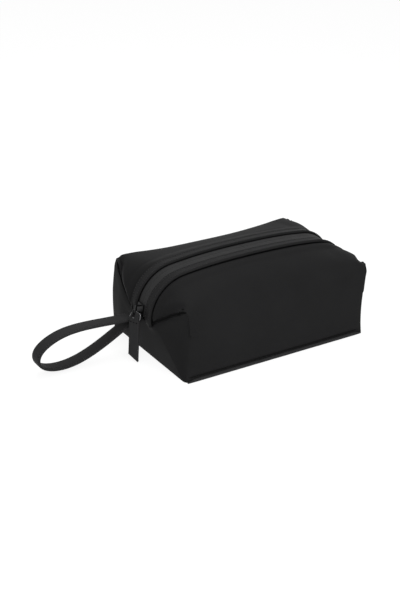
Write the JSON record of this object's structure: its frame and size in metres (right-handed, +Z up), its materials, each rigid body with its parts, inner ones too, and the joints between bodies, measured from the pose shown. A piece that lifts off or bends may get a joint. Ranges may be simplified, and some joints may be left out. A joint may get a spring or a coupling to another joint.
{
  "type": "shaving kit bag",
  "caption": "Box-shaped black leather toiletry bag with pointed top corners, a zip over the top and down both ends, a leather pull tab and a looped wrist strap; the top opens in two flaps.",
  "frame": {"origin": "middle of the flat face that the bag rests on", "axes": "+X along the bag, away from the end with the slider and the strap; +Y to the rear; +Z up"},
  "size_m": [0.3725, 0.156, 0.104],
  "materials": {
    "leather": "smooth, matt, padded",
    "trim_leather": "smooth, matt, folded and stitched",
    "strap_leather": "smooth, satin, edge stitched",
    "zip_tape": "twill weave",
    "zip_coil": "moulded coil",
    "zip_metal": "gunmetal plate",
    "lining": "plain woven",
    "board": "plain"
  },
  "bodies": {
    "shell": {"base_board": "board", "base_lining": "lining", "base_panel": "leather", "front_base_welt": "trim_leather", "front_lining": "lining", "front_panel": "leather", "left_end_lining": "lining", "left_end_panel": "leather", "left_front_apron": "leather", "left_front_coil": "zip_coil", "left_front_strip": "trim_leather", "left_front_tape": "zip_tape", "left_rear_apron": "leather", "left_rear_coil": "zip_coil", "left_rear_strip": "trim_leather", "left_rear_tape": "zip_tape", "left_zip_stop": "zip_metal", "rear_base_welt": "trim_leather", "rear_lining": "lining", "rear_panel": "leather", "right_end_lining": "lining", "right_end_panel": "leather", "right_front_apron": "leather", "right_front_coil": "zip_coil", "right_front_strip": "trim_leather", "right_front_tape": "zip_tape", "right_rear_apron": "leather", "right_rear_coil": "zip_coil", "right_rear_strip": "trim_leather", "right_rear_tape": "zip_tape", "right_zip_stop": "zip_metal", "strap_root": "strap_leather"},
    "zip_slider": {"slider_body": "zip_metal", "slider_bridge": "zip_metal"},
    "pull": {"pull_ring": "zip_metal", "pull_tab_inner": "strap_leather", "pull_tab_outer": "strap_leather"},
    "wrist_strap": {"strap_inner_layer": "strap_leather", "strap_outer_layer": "strap_leather"},
    "front_flap": {"front_flap_coil": "zip_coil", "front_flap_panel": "leather", "front_flap_strip": "trim_leather", "front_flap_tape": "zip_tape"},
    "rear_flap": {"rear_flap_coil": "zip_coil", "rear_flap_panel": "leather", "rear_flap_strip": "trim_leather", "rear_flap_tape": "zip_tape"}
  },
  "joints": [
    {"name": "slider_travel", "type": "hinge", "parent": "shell", "child": "zip_slider", "pos_m": [-0.083, 0, 0.0525], "axis": [0, 1, 0], "range_deg": [0, 76]},
    {"name": "pull_swing", "type": "hinge", "parent": "zip_slider", "child": "pull", "pos_m": [-0.13393, 0, 0.05519], "axis": [0, 1, 0], "range_deg": [0, 130]},
    {"name": "strap_swing", "type": "hinge", "parent": "shell", "child": "wrist_strap", "pos_m": [-0.134, 0, 0.041], "axis": [0, 1, 0], "range_deg": [-4, 60], "stiffness_Nm_per_rad": 0.4, "springref_deg": 1.15},
    {"name": "front_flap_open", "type": "hinge", "parent": "shell", "child": "front_flap", "pos_m": [0, -0.075, 0.085], "axis": [1, 0, 0], "range_deg": [0, 110]},
    {"name": "rear_flap_open", "type": "hinge", "parent": "shell", "child": "rear_flap", "pos_m": [0, 0.075, 0.085], "axis": [-1, 0, 0], "range_deg": [0, 110]}
  ]
}
